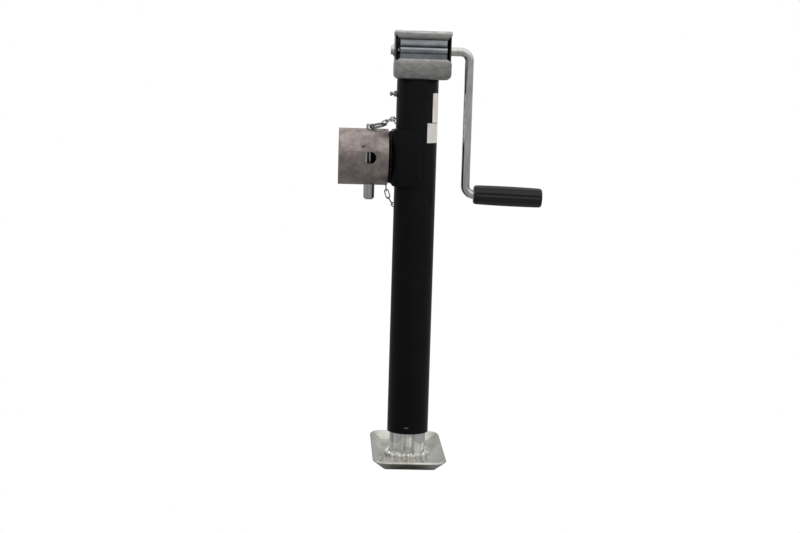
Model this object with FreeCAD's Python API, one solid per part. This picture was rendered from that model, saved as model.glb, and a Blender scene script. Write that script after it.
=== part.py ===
import FreeCAD, Part
import math
import os

# Side-wind trailer jack on a weld-on pipe mount, wound right in and standing on its foot.
# Millimetres. The tube's axis is Z, the foot's underside is z = 0, the crank is on the +X side
# and the pipe mount on the -X side.

V = FreeCAD.Vector
X, Y, Z = V(1, 0, 0), V(0, 1, 0), V(0, 0, 1)
TURN = 360.0

# How far a cutter runs past the faces it cuts, and how full a weld bead's sloping face is
cut_past = 1.0
bead_fullness = 0.42

# Foot plate, a pressed dish
foot_width = 100.0
foot_length = 192.0
foot_flare = 15.0
foot_rise = 13.5
foot_sheet = 3.0
foot_corner = 20.0
foot_rim_flat = 0.4
foot_bead = 7.0

# Outer tube and the leg that slides in it
tube_diameter = 57.0
tube_wall = 3.2
tube_length = 488.0
leg_wall = 3.5
leg_exposed = 33.0
leg_clearance = 0.4
leg_travel = 381.0

# Gear case, folded from sheet
case_width = 76.0
case_depth = 66.0
case_height = 65.0
case_offset = 5.0
case_sheet = 3.0
case_side_bend = 8.0
case_front_bend = 4.0
flange_height = 27.5
flange_notch_width = 6.0
flange_notch_height = 4.5
wall_set_back = 13.0
lip_height = 11.5
lip_mitre = 6.0
cover_sheet = 1.5
cover_side_gap = 3.5
rear_cover_side_gap = 0.5
cover_lap = 6.0
cover_bead_radius = 4.5
cover_bead_proud = 4.5

# Crank rod and grip
rod_diameter = 12.0
shaft_height = 39.0
rod_bend = 12.0
arm_reach = 69.5
crank_radius = 194.0
spindle_droop = 1.6
rod_end_proud = 5.2
running_clearance = 0.05
fit_clearance = 0.05
bush_wall = 2.0
bush_flange = 3.0
bush_flange_thickness = 1.2
bush_proud = 0.2
end_washer_diameter = 17.0
end_washer_thickness = 1.4
end_gap = 0.3
clip_diameter = 14.5
clip_thickness = 1.2
clip_groove_depth = 0.9
clip_slot = 7.0
grip_length = 94.0
grip_end_diameter = 26.0
grip_middle_diameter = 27.4
grip_collar_length = 3.0
grip_edge_chamfer = 1.5
grip_clearance = 0.08
grip_recess_diameter = 21.0
grip_recess_depth = 6.0
grip_flutes = 10
grip_flute_radius = 4.0
grip_flute_depth = 1.3
grip_flute_turn = 12.0
push_nut_diameter = 19.0
push_nut_thickness = 1.2
push_nut_dome = 1.6
spindle_past_nut = 2.0

# Bevel gears
pinion_teeth = 12
gear_teeth = 20
gear_module = 2.2
gear_face = 9.0
tooth_addendum = 0.75
tooth_dedendum = 1.05
tooth_share = 0.40
flank_angle = 22.0
tooth_bury = 0.6
gear_web = 5.0
gear_hub_diameter = 28.0
pinion_hub_diameter = 20.0
pinion_hub_length = 9.0
pinion_back = 0.5
cross_pin_diameter = 4.0

# Lead screw, nut and thrust bearing
screw_diameter = 20.0
screw_tip_chamfer = 2.0
screw_tip_spare = 8.0
journal_diameter = 14.0
journal_clearance = 0.3
journal_top_gap = 3.0
gear_washer_thickness = 2.0
race_diameter = 44.0
race_thickness = 3.0
roller_diameter = 4.0
roller_length = 8.0
roller_count = 8
roller_circle = 31.0
roller_clearance = 0.05
cage_thickness = 2.0
cage_rim = 2.0
collar_diameter = 32.0
collar_thickness = 5.0
nut_length = 26.0
nut_flange = 4.0
nut_flange_inset = 0.5
retract_gap = 0.5

# Grease fitting on the tube
fitting_drop = 20.0
fitting_thread_diameter = 6.0
fitting_hex = 8.0
fitting_hex_height = 3.5
fitting_neck_diameter = 4.4
fitting_head_diameter = 6.5
fitting_reach = 9.5
fitting_shoulder = 1.2
fitting_head_length = 3.4
fitting_head_taper = 1.0
fitting_nose_taper = 1.4
fitting_nose_share = 0.6

# Mount bracket, swivel stub and weld pipe
mount_drop = 106.5
bracket_height = 76.5
bracket_sheet = 5.0
bracket_web_gap = 1.0
bracket_bend = 12.0
bracket_corner = 5.0
bracket_leg_past_axis = 3.0
bracket_clearance = 0.05
bracket_bead = 3.2
pipe_diameter = 77.0
pipe_wall = 6.0
pipe_length = 67.7
pipe_gap = 3.8
stub_wall = 5.0
stub_clearance = 0.4
stub_short = 2.0
stub_bead = 3.4
cross_hole_diameter = 16.3
cross_hole_from_end = 24.7
cross_holes = 4

# Lock pin, pull ring and tether chain
pin_diameter = 15.0
pin_below_pipe = 20.0
pin_above_pipe = 6.5
pin_neck_diameter = 11.5
pin_neck_length = 9.0
pin_chamfer = 2.5
pin_top_chamfer = 1.0
ring_wire = 2.2
ring_radius = 11.2
ring_tilt = 10.0
ring_lift = 12.0
ring_hole_diameter = 5.6
ring_hole_height = 4.5
ring_leave_angle = 50.0
wire_sides = 8
link_wire = 1.4
link_pitch = 10.8
link_width = 7.0
link_gap = 1.2
hang_gap = 0.3
link_corner_share = 0.55
anchor_wire = 2.2
anchor_radius = 6.0
anchor_forward = 2.0
anchor_rise = 10.0

# Places worked out from the sizes above
tube_radius = tube_diameter / 2
tube_bore_radius = tube_radius - tube_wall
leg_radius = tube_bore_radius - leg_clearance
leg_bore_radius = leg_radius - leg_wall
tube_bottom = foot_sheet + leg_exposed
tube_top = tube_bottom + tube_length
case_left = case_offset - case_width / 2
case_right = case_offset + case_width / 2
case_top = tube_top + case_height
case_floor = tube_top + case_sheet
case_front = -case_depth / 2
case_inner_left = case_left + case_sheet
case_inner_right = case_right - case_sheet
wall_top = case_top - case_sheet
flange_top = tube_top + flange_height
lip_bottom = case_top - lip_height
shaft_z = tube_top + shaft_height
rod_radius = rod_diameter / 2
journal_radius = journal_diameter / 2
race_bore_radius = journal_radius + journal_clearance
bearing_depth = 2 * race_thickness + roller_diameter + 2 * roller_clearance
collar_top = tube_top - bearing_depth
collar_bottom = collar_top - collar_thickness
leg_top = collar_bottom - retract_gap - nut_flange
nut_bottom = leg_top - nut_length
screw_bottom = nut_bottom - leg_travel - screw_tip_spare
spindle_z = shaft_z - crank_radius
grip_start = arm_reach + rod_bend + end_gap
grip_end = grip_start + grip_length
lower_bend = V(arm_reach + rod_bend, 0, spindle_z + rod_bend)
mount_z = tube_top - mount_drop
web_inner = -(tube_radius + bracket_web_gap)
web_outer = web_inner - bracket_sheet
bracket_inner_half = tube_radius + bracket_clearance
bracket_outer_half = bracket_inner_half + bracket_sheet
pipe_right = web_outer - pipe_gap
pipe_left = pipe_right - pipe_length
pipe_radius = pipe_diameter / 2
stub_radius = pipe_radius - pipe_wall - stub_clearance
pin_x = pipe_right - cross_hole_from_end
pin_top = mount_z + pipe_radius + pin_above_pipe
ring_hole = V(pin_x, 0, pin_top - ring_hole_height)


def rounded_wire(corners):
    """A closed outline from (point, radius) corners, each rounded by an arc of its radius."""
    joins = []
    for index, (point, radius) in enumerate(corners):
        before = corners[index - 1][0]
        after = corners[(index + 1) % len(corners)][0]
        to_before = (before - point).normalize()
        to_after = (after - point).normalize()
        half = to_before.getAngle(to_after) / 2
        reach = radius / math.tan(half)
        middle = point + (to_before + to_after).normalize() * (radius / math.sin(half) - radius)
        joins.append((point + to_before * reach, middle, point + to_after * reach))
    edges = []
    for index, (start, middle, end) in enumerate(joins):
        if corners[index][1] > 0:
            edges.append(Part.Arc(start, middle, end).toShape())
        following = joins[(index + 1) % len(joins)][0]
        if end.distanceToPoint(following) > 1e-6:
            edges.append(Part.makeLine(end, following))
    return Part.Wire(edges)


def prism(corners, direction):
    """The rounded outline of these corners, filled and pushed along a direction."""
    return Part.Face(rounded_wire(corners)).extrude(direction)


def turned(points, centre, axis):
    """A solid of revolution of a (radius, height) profile about an axis through centre."""
    across = Y if abs(axis.dot(Y)) < 0.5 else X
    corners = [centre + across * radius + axis * height for radius, height in points]
    face = Part.Face(Part.makePolygon(corners + corners[:1]))
    return face.revolve(centre, axis, TURN)


def rod(radius, start, end):
    """A round bar between two points."""
    along = end - start
    return Part.makeCylinder(radius, along.Length, start, along)


def ring(outer_radius, inner_radius, start, end):
    """A round sleeve between two points."""
    past = (end - start).normalize() * cut_past
    return rod(outer_radius, start, end).cut(rod(inner_radius, start - past, end + past))


def spun(shape, count, centre, axis):
    """Copies of a shape, evenly spaced about an axis."""
    copies = []
    for index in range(count):
        copy = shape.copy()
        copy.rotate(centre, axis, TURN * index / count)
        copies.append(copy)
    return copies


# Foot and leg


def foot_outline(grow, height):
    """The foot's floor outline at a height, grown outwards on every side."""
    half_x = foot_width / 2 - foot_flare + grow
    half_y = foot_length / 2 - foot_flare + grow
    radius = foot_corner - foot_flare + grow
    signs = ((-1, -1), (1, -1), (1, 1), (-1, 1))
    return rounded_wire([(V(half_x * sx, half_y * sy, height), radius) for sx, sy in signs])


def foot_plate():
    """A dish with a flat floor and a flared flange whose edge is cut square to the sheet."""
    slope = math.atan2(foot_rise, foot_flare)
    edge_rise = foot_rise - foot_sheet * math.cos(slope)
    edge_reach = foot_flare - foot_sheet * math.sin(slope)
    inner_grow = foot_sheet * foot_flare / edge_rise - foot_sheet / math.sin(slope)
    floor = foot_outline(0, 0)
    rim = foot_outline(foot_flare, edge_rise)
    edge = foot_outline(edge_reach, foot_rise)
    dish = Part.makeLoft([floor, rim], True, True).fuse(Part.makeLoft([rim, edge], True, True))
    hollow_floor = foot_outline(inner_grow, foot_sheet)
    hollow_rim = foot_outline(edge_reach - foot_rim_flat, foot_rise)
    return dish.cut(Part.makeLoft([hollow_floor, hollow_rim], True, True)).removeSplitter()


def foot_weld():
    """The fillet weld between the leg and the foot's floor."""
    profile = [
        (leg_radius, 0),
        (leg_radius + foot_bead, 0),
        (leg_radius + foot_bead * bead_fullness, foot_bead * bead_fullness),
        (leg_radius, foot_bead),
    ]
    return turned(profile, V(0, 0, foot_sheet), Z)


def inner_tube():
    """The leg tube, which stands on the foot's floor."""
    return ring(leg_radius, leg_bore_radius, V(0, 0, foot_sheet), V(0, 0, leg_top))


def lead_nut():
    """The flanged nut that hangs in the leg's top and rides on the screw."""
    bore = screw_diameter / 2 + running_clearance
    body = leg_bore_radius - fit_clearance
    flange = leg_radius - nut_flange_inset
    profile = [
        (bore, -nut_length),
        (body, -nut_length),
        (body, 0),
        (flange, 0),
        (flange, nut_flange),
        (bore, nut_flange),
    ]
    return turned(profile, V(0, 0, leg_top), Z)


# Outer tube and grease fitting


def outer_tube():
    """The jack's outer tube, tapped for the grease fitting."""
    tube = ring(tube_radius, tube_bore_radius, V(0, 0, tube_bottom), V(0, 0, tube_top))
    height = tube_top - fitting_drop
    hole_radius = fitting_thread_diameter / 2 + fit_clearance
    return tube.cut(rod(hole_radius, V(-tube_diameter, 0, height), V(0, 0, height)))


def grease_fitting():
    """A hexagon-based nipple screwed into the tube's wall."""
    seat = V(-tube_radius, 0, tube_top - fitting_drop)
    thread = fitting_thread_diameter / 2
    neck = fitting_neck_diameter / 2
    head = fitting_head_diameter / 2
    profile = [
        (0, -tube_wall + leg_clearance),
        (thread, -tube_wall + leg_clearance),
        (thread, fitting_hex_height),
        (neck, fitting_hex_height + fitting_shoulder),
        (neck, fitting_reach - fitting_head_length),
        (head, fitting_reach - fitting_head_length + fitting_head_taper),
        (head, fitting_reach - fitting_nose_taper),
        (neck * fitting_nose_share, fitting_reach),
        (0, fitting_reach),
    ]
    nipple = turned(profile, seat, -X)
    corner = fitting_hex / 2 / math.cos(math.pi / 6)
    corners = []
    for index in range(6):
        angle = math.pi / 3 * index
        corners.append((seat + Y * corner * math.cos(angle) + Z * corner * math.sin(angle), 0))
    return nipple.fuse(prism(corners, -X * fitting_hex_height)).removeSplitter()


# Gear case, lid and covers


def case_block(inset):
    """The gear case's outside, or with the sheet as inset its inside, from two crossed profiles."""
    left, right = case_left + inset, case_right - inset
    bottom, top = tube_top + inset, wall_top + inset
    half = case_depth / 2 - inset
    side_bend = case_side_bend - inset
    front_bend = case_front_bend - inset
    across = [
        (V(left, -half, top), 0),
        (V(left, -half, bottom), side_bend),
        (V(right, -half, bottom), side_bend),
        (V(right, -half, top), 0),
    ]
    along = [
        (V(left, -half, top), 0),
        (V(left, -half, bottom), front_bend),
        (V(left, half, bottom), front_bend),
        (V(left, half, top), 0),
    ]
    return prism(across, Y * 2 * half).common(prism(along, X * (right - left)))


def gear_case():
    """A folded tray: floor, two walls set back at their edges, and low flanges front and rear."""
    case = case_block(0).cut(case_block(case_sheet))
    inner_width = case_inner_right - case_inner_left
    opening = Part.makeBox(
        inner_width, case_depth, case_height, V(case_inner_left, case_front, flange_top)
    )
    case = case.cut(opening)
    for edge in (case_front, -case_front - wall_set_back):
        case = case.cut(Part.makeBox(case_width, wall_set_back, case_height, V(case_left, edge, flange_top)))
        for end_x, side in ((case_left, 1), (case_right, -1)):
            notch = [
                (V(end_x, edge, flange_top), 0),
                (V(end_x, edge, flange_top - flange_notch_height), 0),
                (V(end_x + side * flange_notch_width, edge, flange_top), 0),
            ]
            case = case.cut(prism(notch, Y * wall_set_back))
    case = case.cut(rod(race_bore_radius, V(0, 0, tube_top), V(0, 0, case_floor)))
    bush_hole = rod_radius + running_clearance + bush_wall + fit_clearance
    return case.cut(rod(bush_hole, V(case_left, 0, shaft_z), V(case_right, 0, shaft_z)))


def gear_case_lid():
    """A channel that lies on the walls, its front and rear lips mitred at their ends."""
    half = case_depth / 2
    inner_half = half - case_sheet
    inner_bend = case_front_bend - case_sheet
    channel = [
        (V(case_left, -half, lip_bottom), 0),
        (V(case_left, -half, case_top), case_front_bend),
        (V(case_left, half, case_top), case_front_bend),
        (V(case_left, half, lip_bottom), 0),
        (V(case_left, inner_half, lip_bottom), 0),
        (V(case_left, inner_half, wall_top), inner_bend),
        (V(case_left, -inner_half, wall_top), inner_bend),
        (V(case_left, -inner_half, lip_bottom), 0),
    ]
    lid = prism(channel, X * case_width)
    for end_x, side in ((case_left, 1), (case_right, -1)):
        mitre = [
            (V(end_x, -half, lip_bottom), 0),
            (V(end_x, -half, lip_bottom + lip_mitre), 0),
            (V(end_x + side * lip_mitre, -half, lip_bottom), 0),
        ]
        lid = lid.cut(prism(mitre, Y * case_depth))
    return lid


def gear_cover(side, side_gap):
    """A cover sheet behind the lip and flange, with a pressed half-round bead; side is -1 in front."""
    left = case_inner_left + side_gap
    right = case_inner_right - side_gap
    outer_face = side * (case_depth / 2 - case_sheet)
    bottom, top = flange_top - cover_lap, lip_bottom + cover_lap
    outline = [
        (V(left, outer_face, bottom), 0),
        (V(right, outer_face, bottom), 0),
        (V(right, outer_face, top), 0),
        (V(left, outer_face, top), 0),
    ]
    sheet = prism(outline, -Y * side * cover_sheet)
    bead_y = outer_face + side * (cover_bead_proud - cover_bead_radius)
    start, end = V(left, bead_y, shaft_z), V(right, bead_y, shaft_z)
    inner_face = outer_face - side * cover_sheet
    beyond = Part.makeBox(
        right - left,
        case_depth,
        case_height,
        V(left, inner_face if side > 0 else inner_face - case_depth, flange_top),
    )
    bead = rod(cover_bead_radius, start, end).common(beyond)
    hollow = rod(cover_bead_radius - cover_sheet, start, end)
    return sheet.fuse(bead).cut(hollow).removeSplitter()


# Crank rod and what it carries


def turned_about(point, centre, axis, angle):
    """A point turned about an axis through centre."""
    return centre + FreeCAD.Rotation(axis, angle).multVec(point - centre)


def crank_path():
    """The rod's centre line: across the gear case, down the arm and out along the drooping spindle."""
    arc_middle = rod_bend * (1 - math.sqrt(0.5))
    start = V(case_left - rod_end_proud, 0, shaft_z)
    bend_in = V(arm_reach - rod_bend, 0, shaft_z)
    bend_middle = V(arm_reach - arc_middle, 0, shaft_z - arc_middle)
    bend_out = V(arm_reach, 0, shaft_z - rod_bend)
    foot_in = lower_bend - X * rod_bend
    foot_middle = turned_about(foot_in, lower_bend, Y, (spindle_droop - TURN / 4) / 2)
    foot_out = turned_about(foot_in, lower_bend, Y, spindle_droop - TURN / 4)
    level_end = V(grip_end - grip_recess_depth + push_nut_thickness + spindle_past_nut, 0, spindle_z)
    end = turned_about(level_end, lower_bend, Y, spindle_droop)
    return Part.Wire([
        Part.makeLine(start, bend_in),
        Part.Arc(bend_in, bend_middle, bend_out).toShape(),
        Part.makeLine(bend_out, foot_in),
        Part.Arc(foot_in, foot_middle, foot_out).toShape(),
        Part.makeLine(foot_out, end),
    ])


def pinion_pin_x():
    """Where the pinion's cross pin goes through its hub."""
    return gear_pitch_radius() + pinion_hub_length / 2


def clip_x():
    """The retaining clip's face on the washer side."""
    return case_left - bush_proud - end_gap - end_washer_thickness


def crank_rod():
    """One bent bar, grooved for its clip and drilled for the pinion's pin."""
    path = crank_path()
    start = path.Vertexes[0].Point
    section = Part.Wire(Part.makeCircle(rod_radius, start, X))
    bar = path.makePipeShell([section], True, False)
    groove_start = V(clip_x() - clip_thickness, 0, shaft_z)
    groove = ring(rod_diameter, rod_radius - clip_groove_depth, groove_start, V(clip_x(), 0, shaft_z))
    hole_radius = cross_pin_diameter / 2 + fit_clearance
    at = V(pinion_pin_x(), 0, shaft_z)
    hole = rod(hole_radius, at - Z * rod_diameter, at + Z * rod_diameter)
    return bar.cut(groove).cut(hole)


def shaft_bush(wall_outer, inward):
    """A flanged bush pressed through a wall of the gear case; inward is +1 in the left wall."""
    bore = rod_radius + running_clearance
    body = bore + bush_wall
    wall_inner = case_sheet + bush_proud
    profile = [
        (bore, 0),
        (body, 0),
        (body, wall_inner),
        (body + bush_flange, wall_inner),
        (body + bush_flange, wall_inner + bush_flange_thickness),
        (bore, wall_inner + bush_flange_thickness),
    ]
    return turned(profile, V(wall_outer - inward * bush_proud, 0, shaft_z), X * inward)


def rod_end_washer():
    """The plain washer between the left wall and the clip."""
    bore = rod_radius + fit_clearance
    return ring(end_washer_diameter / 2, bore, V(clip_x(), 0, shaft_z),
                V(clip_x() + end_washer_thickness, 0, shaft_z))


def rod_end_clip():
    """A spring clip, open below, in the rod's groove."""
    bore = rod_radius - clip_groove_depth + fit_clearance
    start = V(clip_x() - clip_thickness + fit_clearance, 0, shaft_z)
    clip = ring(clip_diameter / 2, bore, start, V(clip_x() - fit_clearance, 0, shaft_z))
    corner = V(clip_x() - rod_radius, -clip_slot / 2, shaft_z - clip_diameter)
    slot = Part.makeBox(rod_diameter, clip_slot, clip_diameter, corner)
    return clip.cut(slot)


def handle_grip():
    """A moulded grip, fluted almost to its plain ends, with a recess for its push nut."""
    end_radius = grip_end_diameter / 2
    middle_radius = grip_middle_diameter / 2
    bore = rod_radius + grip_clearance
    recess = grip_recess_diameter / 2
    start = V(grip_start, 0, spindle_z)
    profile = [
        (bore, 0),
        (end_radius - grip_edge_chamfer, 0),
        (end_radius, grip_edge_chamfer),
        (end_radius, grip_collar_length - middle_radius + end_radius),
        (middle_radius, grip_collar_length),
        (middle_radius, grip_length - grip_collar_length),
        (end_radius, grip_length - grip_collar_length + middle_radius - end_radius),
        (end_radius, grip_length - grip_edge_chamfer),
        (end_radius - grip_edge_chamfer, grip_length),
        (recess, grip_length),
        (recess, grip_length - grip_recess_depth),
        (bore, grip_length - grip_recess_depth),
    ]
    axis_offset = Z * (middle_radius + grip_flute_radius - grip_flute_depth)
    flute_start = start + axis_offset + X * grip_collar_length
    flute_end = start + axis_offset + X * (grip_length - grip_collar_length)
    flute = rod(grip_flute_radius, flute_start, flute_end)
    flute.rotate(start, X, grip_flute_turn)
    grip = turned(profile, start, X).cut(spun(flute, grip_flutes, start, X))
    grip.rotate(lower_bend, Y, spindle_droop)
    return grip


def grip_push_nut():
    """The domed push nut that keeps the grip on the spindle."""
    bore = rod_radius + fit_clearance
    outer = push_nut_diameter / 2
    seat = V(grip_end - grip_recess_depth + end_gap, 0, spindle_z)
    profile = [
        (bore, push_nut_dome),
        (outer, 0),
        (outer, push_nut_thickness),
        (bore, push_nut_dome + push_nut_thickness),
    ]
    nut = turned(profile, seat, X)
    nut.rotate(lower_bend, Y, spindle_droop)
    return nut


# Bevel gears


def gear_pitch_radius():
    """The large gear's pitch radius at the outer end of its teeth."""
    return gear_module * gear_teeth / 2


def bevel_wheel(teeth, mate_teeth, phase, back, hub_radius, hub_end, bore):
    """A straight bevel wheel with its cone's apex at the origin and its axis along +Z."""
    cone = math.atan2(teeth, mate_teeth)
    outer = gear_module * teeth / 2 / math.sin(cone)
    along = V(math.sin(cone), 0, math.cos(cone))
    outward = V(math.cos(cone), 0, -math.sin(cone))
    half_thick = tooth_share * math.pi * gear_module / 2
    slope = math.tan(math.radians(flank_angle))
    root = -tooth_dedendum * gear_module
    tip = tooth_addendum * gear_module

    def section(share):
        corners = []
        for height, side in ((root - tooth_bury, -1), (tip, -1), (tip, 1), (root - tooth_bury, 1)):
            half = half_thick - height * slope
            corners.append((along * outer + outward * height + Y * side * half) * share)
        return Part.makePolygon(corners + corners[:1])

    inner_share = (outer - gear_face) / outer
    tooth = Part.makeLoft([section(1.0), section(inner_share)], True, True)
    tooth.rotate(V(), Z, phase)
    root_outer = along * outer + outward * root
    root_inner = root_outer * inner_share
    back_z = root_outer.z + back
    profile = [
        (bore, root_inner.z),
        (root_inner.x, root_inner.z),
        (root_outer.x, root_outer.z),
        (root_outer.x, back_z),
        (hub_radius, back_z),
        (hub_radius, hub_end),
        (bore, hub_end),
    ]
    return turned(profile, V(), Z).fuse(spun(tooth, teeth, V(), Z)).removeSplitter()


def gear_hub_end():
    """How far below the crank's axis the large gear's hub ends, on its thrust washer."""
    return shaft_z - case_floor - gear_washer_thickness


def gear_pin_z():
    """The height of the cross pin through the large gear's hub."""
    return shaft_z - gear_hub_end() + cross_pin_diameter


def bevel_gear():
    """The large gear on the screw's journal, teeth upwards, drilled for its pin."""
    bore = journal_radius + fit_clearance
    gear = bevel_wheel(gear_teeth, pinion_teeth, 0, gear_web, gear_hub_diameter / 2, gear_hub_end(), bore)
    gear.rotate(V(), X, TURN / 2)
    gear.translate(V(0, 0, shaft_z))
    hole = cross_pin_diameter / 2 + fit_clearance
    half = Y * gear_hub_diameter
    return gear.cut(rod(hole, V(0, 0, gear_pin_z()) - half, V(0, 0, gear_pin_z()) + half))


def gear_pin():
    """The cross pin that drives the screw."""
    half = Y * gear_hub_diameter / 2
    return rod(cross_pin_diameter / 2, V(0, 0, gear_pin_z()) - half, V(0, 0, gear_pin_z()) + half)


def bevel_pinion():
    """The small gear on the crank rod, a gap in mesh below it, drilled for its pin."""
    bore = rod_radius + fit_clearance
    hub_end = gear_pitch_radius() + pinion_hub_length
    half_tooth = TURN / pinion_teeth / 2
    hub_radius = pinion_hub_diameter / 2
    pinion = bevel_wheel(pinion_teeth, gear_teeth, half_tooth, pinion_back, hub_radius, hub_end, bore)
    pinion.rotate(V(), Y, TURN / 4)
    pinion.translate(V(0, 0, shaft_z))
    hole = cross_pin_diameter / 2 + fit_clearance
    at = V(pinion_pin_x(), 0, shaft_z)
    return pinion.cut(rod(hole, at - Z * pinion_hub_diameter, at + Z * pinion_hub_diameter))


def pinion_pin():
    """The cross pin that keys the pinion to the rod."""
    at = V(pinion_pin_x(), 0, shaft_z)
    return rod(cross_pin_diameter / 2, at - Z * pinion_hub_diameter / 2, at + Z * pinion_hub_diameter / 2)


# Lead screw and thrust bearing


def lead_screw():
    """The screw with its thrust collar and the journal that carries the gear."""
    screw = screw_diameter / 2
    top = shaft_z - rod_radius - journal_top_gap
    profile = [
        (0, screw_bottom),
        (screw - screw_tip_chamfer, screw_bottom),
        (screw, screw_bottom + screw_tip_chamfer),
        (screw, collar_bottom),
        (collar_diameter / 2, collar_bottom),
        (collar_diameter / 2, collar_top),
        (journal_radius, collar_top),
        (journal_radius, top),
        (0, top),
    ]
    hole = cross_pin_diameter / 2 + fit_clearance
    at = V(0, 0, gear_pin_z())
    return turned(profile, V(), Z).cut(rod(hole, at - Y * screw_diameter, at + Y * screw_diameter))


def gear_washer():
    """The washer on the gear case's floor that the gear's hub turns on."""
    top = case_floor + gear_washer_thickness - roller_clearance
    return ring(gear_hub_diameter / 2, race_bore_radius, V(0, 0, case_floor), V(0, 0, top))


def bearing_race(bottom):
    """A hardened washer of the thrust bearing."""
    return ring(race_diameter / 2, race_bore_radius, V(0, 0, bottom), V(0, 0, bottom + race_thickness))


def roller_height():
    """The height of the rollers' axes."""
    return collar_top + race_thickness + roller_clearance + roller_diameter / 2


def bearing_rollers():
    """Rollers that lie like spokes between the races."""
    inner = V(roller_circle / 2 - roller_length / 2, 0, roller_height())
    roller = rod(roller_diameter / 2, inner, inner + X * roller_length)
    return Part.makeCompound(spun(roller, roller_count, V(), Z))


def bearing_cage():
    """The flat ring that spaces the rollers."""
    bottom = V(0, 0, roller_height() - cage_thickness / 2)
    pocket_length = roller_length + 2 * roller_clearance
    inner = roller_circle / 2 - pocket_length / 2
    cage = ring(inner + pocket_length + cage_rim, inner - cage_rim, bottom, bottom + Z * cage_thickness)
    pocket_width = roller_diameter + 2 * roller_clearance
    corner = V(inner, -pocket_width / 2, bottom.z - cage_thickness / 2)
    pocket = Part.makeBox(pocket_length, pocket_width, roller_diameter, corner)
    return cage.cut(spun(pocket, roller_count, V(), Z))


# Mount bracket, stub and weld pipe


def mount_bracket():
    """A channel folded round the tube, its web corners rounded."""
    low = mount_z - bracket_height / 2
    end = bracket_leg_past_axis
    inner_bend = bracket_bend - bracket_sheet
    channel = [
        (V(end, -bracket_outer_half, low), 0),
        (V(end, -bracket_inner_half, low), 0),
        (V(web_inner, -bracket_inner_half, low), inner_bend),
        (V(web_inner, bracket_inner_half, low), inner_bend),
        (V(end, bracket_inner_half, low), 0),
        (V(end, bracket_outer_half, low), 0),
        (V(web_outer, bracket_outer_half, low), bracket_bend),
        (V(web_outer, -bracket_outer_half, low), bracket_bend),
    ]
    face = [
        (V(web_outer, -bracket_outer_half, low), bracket_corner),
        (V(end, -bracket_outer_half, low), 0),
        (V(end, -bracket_outer_half, low + bracket_height), 0),
        (V(web_outer, -bracket_outer_half, low + bracket_height), bracket_corner),
    ]
    return prism(channel, Z * bracket_height).common(prism(face, Y * 2 * bracket_outer_half))


def bracket_welds():
    """The weld beads along the ends of the bracket's two legs, laid against the tube."""
    low = mount_z - bracket_height / 2 + bracket_bead
    high = mount_z + bracket_height / 2 - bracket_bead
    blocker = rod(tube_radius, V(0, 0, low - bracket_height), V(0, 0, high + bracket_height))
    beads = []
    for side in (-1, 1):
        centre = V(bracket_leg_past_axis, side * (bracket_inner_half + bracket_bead / 2), low)
        bead = rod(bracket_bead, centre, centre + Z * (high - low)).cut(blocker)
        beads.append(bead.cut(mount_bracket()))
    return Part.makeCompound(beads)


def cross_holes_cutter():
    """The four cross holes of the mount, square to each other round the pipe's axis."""
    centre = V(pin_x, 0, mount_z)
    hole = rod(cross_hole_diameter / 2, centre, centre + Z * pipe_diameter)
    return spun(hole, cross_holes, centre, X)


def swivel_stub():
    """The stub on the bracket's web that the weld pipe sits on."""
    end = V(pipe_left + stub_short, 0, mount_z)
    stub = ring(stub_radius, stub_radius - stub_wall, V(web_outer, 0, mount_z), end)
    return stub.cut(cross_holes_cutter())


def stub_weld():
    """The fillet weld round the stub's foot."""
    profile = [
        (stub_radius, 0),
        (stub_radius + stub_bead, 0),
        (stub_radius + stub_bead * bead_fullness, stub_bead * bead_fullness),
        (stub_radius, stub_bead),
    ]
    return turned(profile, V(web_outer, 0, mount_z), -X)


def weld_pipe():
    """The bare steel pipe that is welded to the trailer's frame."""
    pipe = ring(pipe_radius, pipe_radius - pipe_wall, V(pipe_right, 0, mount_z), V(pipe_left, 0, mount_z))
    return pipe.cut(cross_holes_cutter())


# Lock pin, ring and chain


def lock_pin():
    """The pin through pipe and stub, with a drilled neck for its ring."""
    radius = pin_diameter / 2
    neck = pin_neck_diameter / 2
    bottom = mount_z - pipe_radius - pin_below_pipe
    shoulder = pin_top - pin_neck_length
    profile = [
        (0, bottom),
        (radius - pin_chamfer, bottom),
        (radius, bottom + pin_chamfer),
        (radius, shoulder),
        (neck, shoulder),
        (neck, pin_top - pin_top_chamfer),
        (neck - pin_top_chamfer, pin_top),
        (0, pin_top),
    ]
    hole = rod(ring_hole_diameter / 2, ring_hole - Y * pin_diameter, ring_hole + Y * pin_diameter)
    return turned(profile, V(pin_x, 0, 0), Z).cut(hole)


def ring_centre():
    """The pull ring's centre before it is lifted: its wire lies mid-way in the neck's hole."""
    neck = pin_neck_diameter / 2
    bow = ring_radius - math.sqrt(ring_radius ** 2 - neck ** 2)
    return ring_hole + X * (ring_radius - bow / 2)


def wire_section(wire, at, across, along):
    """The outline of a thin wire, drawn with a few flats, square to the plane of its two directions."""
    corners = []
    for index in range(wire_sides):
        angle = 2 * math.pi * (index + 0.5) / wire_sides
        corners.append(at + (across * math.cos(angle) + along * math.sin(angle)) * (wire / 2))
    return Part.Face(Part.makePolygon(corners + corners[:1]))


def pull_ring():
    """The ring that a finger pulls the pin by."""
    section = wire_section(ring_wire, ring_centre() + X * ring_radius, X, Z)
    loop = section.revolve(ring_centre(), Z, TURN)
    loop.rotate(ring_centre(), X, ring_tilt)
    loop.rotate(ring_hole, Y, -ring_lift)
    return loop


def anchor_point():
    """The outermost point of the anchor's wire, where the chain's last link hangs."""
    return V(-anchor_forward, bracket_outer_half + anchor_radius, mount_z - anchor_rise)


def chain_anchor():
    """A bent wire staple welded to the bracket's rear leg."""
    centre = anchor_point() - Y * anchor_radius
    section = wire_section(anchor_wire, centre + X * anchor_radius, X, Z)
    return section.revolve(centre, Z, TURN / 2)


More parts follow.
